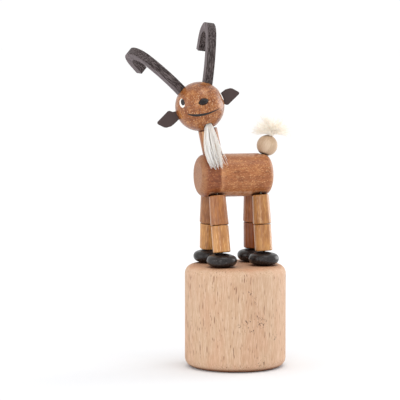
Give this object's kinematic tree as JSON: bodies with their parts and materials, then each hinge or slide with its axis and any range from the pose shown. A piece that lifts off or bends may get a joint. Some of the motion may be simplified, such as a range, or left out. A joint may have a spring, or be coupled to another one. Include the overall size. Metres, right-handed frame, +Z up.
{
  "type": "push-up goat toy",
  "caption": "Wooden push-up toy goat on a turned base: pressing the sprung button slackens the strings and the figure folds.",
  "frame": {"origin": "centre of the flat annular foot of the base, on the surface that the toy stands on", "axes": "+Z up along the base's axis; the goat faces -X with its left side to -Y, and its head is turned to its left"},
  "size_m": [0.0588, 0.036, 0.1224],
  "materials": {
    "beech": "bare turned beech, fine sanded, matt",
    "leg_wood": "honey-stained wood under thin semi-gloss varnish",
    "body_wood": "reddish-brown stained beech, semi-gloss varnish",
    "head_wood": "orange-brown stained beech, satin varnish",
    "pale_wood": "bare pale maple, fine sanded",
    "horn_wood": "dark grey-brown stained strip wood, matt to satin",
    "black_lacquer": "black lacquer over a turned wooden bead, semi-gloss",
    "ear_leather": "thin dark brown leather, matt",
    "white_hair": "loose white bristle strands",
    "cream_wool": "soft cream wool strands",
    "string": "twisted natural cord",
    "spring_steel": "bright drawn spring wire"
  },
  "bodies": {
    "base": {"base": "beech", "base_strings": "string", "cavity_strings": "string", "return_spring": "spring_steel", "hoof_front_left": "black_lacquer", "hoof_string_front_left": "string", "hoof_front_right": "black_lacquer", "hoof_string_front_right": "string", "hoof_rear_left": "black_lacquer", "hoof_string_rear_left": "string", "hoof_rear_right": "black_lacquer", "hoof_string_rear_right": "string"},
    "push_button": {"push_button": "beech", "string_knots": "string"},
    "shin_front_left": {"shin_front_left": "leg_wood", "shin_string_front_left": "string"},
    "thigh_front_left": {"thigh_front_left": "leg_wood", "thigh_string_front_left": "string"},
    "shin_front_right": {"shin_front_right": "leg_wood", "shin_string_front_right": "string"},
    "thigh_front_right": {"thigh_front_right": "leg_wood", "thigh_string_front_right": "string"},
    "shin_rear_left": {"shin_rear_left": "leg_wood", "shin_string_rear_left": "string"},
    "thigh_rear_left": {"thigh_rear_left": "leg_wood", "thigh_string_rear_left": "string"},
    "shin_rear_right": {"shin_rear_right": "leg_wood", "shin_string_rear_right": "string"},
    "thigh_rear_right": {"thigh_rear_right": "leg_wood", "thigh_string_rear_right": "string"},
    "body": {"body": "body_wood", "body_strings": "string"},
    "neck": {"neck": "head_wood", "neck_strings": "string"},
    "head_joint": {"head_joint_strings": "string", "head_strings": "string"},
    "head": {"head": "head_wood", "horn_left": "horn_wood", "horn_right": "horn_wood", "ear_left": "ear_leather", "ear_right": "ear_leather", "nose": "black_lacquer", "beard": "white_hair"},
    "tail": {"tail_bead": "pale_wood", "tail_strings": "string", "tail_tuft": "cream_wool"}
  },
  "joints": [
    {"name": "button_push", "type": "slide", "parent": "base", "child": "push_button", "axis": [0, 0, 1], "range_m": [0, 0.009], "stiffness_N_per_m": 100, "springref_m": -0.004, "deforming": ["return_spring", "cavity_strings"]},
    {"name": "ankle_front_left", "type": "hinge", "parent": "base", "child": "shin_front_left", "pos_m": [-0.0045, -0.008, 0.04164], "axis": [0, 1, 0], "range_deg": [0, 40]},
    {"name": "knee_front_left", "type": "hinge", "parent": "shin_front_left", "child": "thigh_front_left", "pos_m": [-0.00473, -0.00648, 0.0511], "axis": [0, 1, 0], "range_deg": [0, 8]},
    {"name": "ankle_front_right", "type": "hinge", "parent": "base", "child": "shin_front_right", "pos_m": [-0.0045, 0.008, 0.04164], "axis": [0, 1, 0], "range_deg": [0, 40]},
    {"name": "knee_front_right", "type": "hinge", "parent": "shin_front_right", "child": "thigh_front_right", "pos_m": [-0.00473, 0.00648, 0.0511], "axis": [0, 1, 0], "range_deg": [0, 8]},
    {"name": "ankle_rear_left", "type": "hinge", "parent": "base", "child": "shin_rear_left", "pos_m": [0.0116, -0.0065, 0.04164], "axis": [0, 1, 0], "range_deg": [0, 40]},
    {"name": "knee_rear_left", "type": "hinge", "parent": "shin_rear_left", "child": "thigh_rear_left", "pos_m": [0.01137, -0.00569, 0.0511], "axis": [0, 1, 0], "range_deg": [0, 8]},
    {"name": "ankle_rear_right", "type": "hinge", "parent": "base", "child": "shin_rear_right", "pos_m": [0.0116, 0.0065, 0.04164], "axis": [0, 1, 0], "range_deg": [0, 40]},
    {"name": "knee_rear_right", "type": "hinge", "parent": "shin_rear_right", "child": "thigh_rear_right", "pos_m": [0.01137, 0.00569, 0.0511], "axis": [0, 1, 0], "range_deg": [0, 8]},
    {"name": "hip_front_left", "type": "hinge", "parent": "thigh_front_left", "child": "body", "pos_m": [-0.0114, -0.0048, 0.0605], "axis": [0, 1, 0], "range_deg": [-48, 0]},
    {"name": "neck_fold", "type": "hinge", "parent": "body", "child": "neck", "pos_m": [-0.01216, 0, 0.07592], "axis": [0, -1, 0], "range_deg": [0, 56]},
    {"name": "head_nod", "type": "hinge", "parent": "neck", "child": "head_joint", "pos_m": [-0.01369, 0, 0.08408], "axis": [0, -1, 0], "range_deg": [0, 16]},
    {"name": "head_turn", "type": "hinge", "parent": "head_joint", "child": "head", "pos_m": [-0.01325, 0, 0.09275], "axis": [-0.3355, 0, 0.9421], "range_deg": [-168, 10], "deforming": ["beard"]},
    {"name": "tail_flop", "type": "hinge", "parent": "body", "child": "tail", "pos_m": [0.01185, 0, 0.07865], "axis": [0, 1, 0], "range_deg": [0, 36]}
  ],
  "couplings": [
    {"joint": "ankle_front_left", "follows": "button_push", "rad_per_m": 77.57},
    {"joint": "knee_front_left", "follows": "button_push", "rad_per_m": 15.514},
    {"joint": "ankle_front_right", "follows": "button_push", "rad_per_m": 77.57},
    {"joint": "knee_front_right", "follows": "button_push", "rad_per_m": 15.514},
    {"joint": "ankle_rear_left", "follows": "button_push", "rad_per_m": 77.57},
    {"joint": "knee_rear_left", "follows": "button_push", "rad_per_m": 15.514},
    {"joint": "ankle_rear_right", "follows": "button_push", "rad_per_m": 77.57},
    {"joint": "knee_rear_right", "follows": "button_push", "rad_per_m": 15.514},
    {"joint": "hip_front_left", "follows": "button_push", "rad_per_m": -93.084},
    {"joint": "neck_fold", "follows": "button_push", "rad_per_m": 108.6},
    {"joint": "head_nod", "follows": "button_push", "rad_per_m": 31.028},
    {"joint": "tail_flop", "follows": "button_push", "rad_per_m": 69.813}
  ]
}
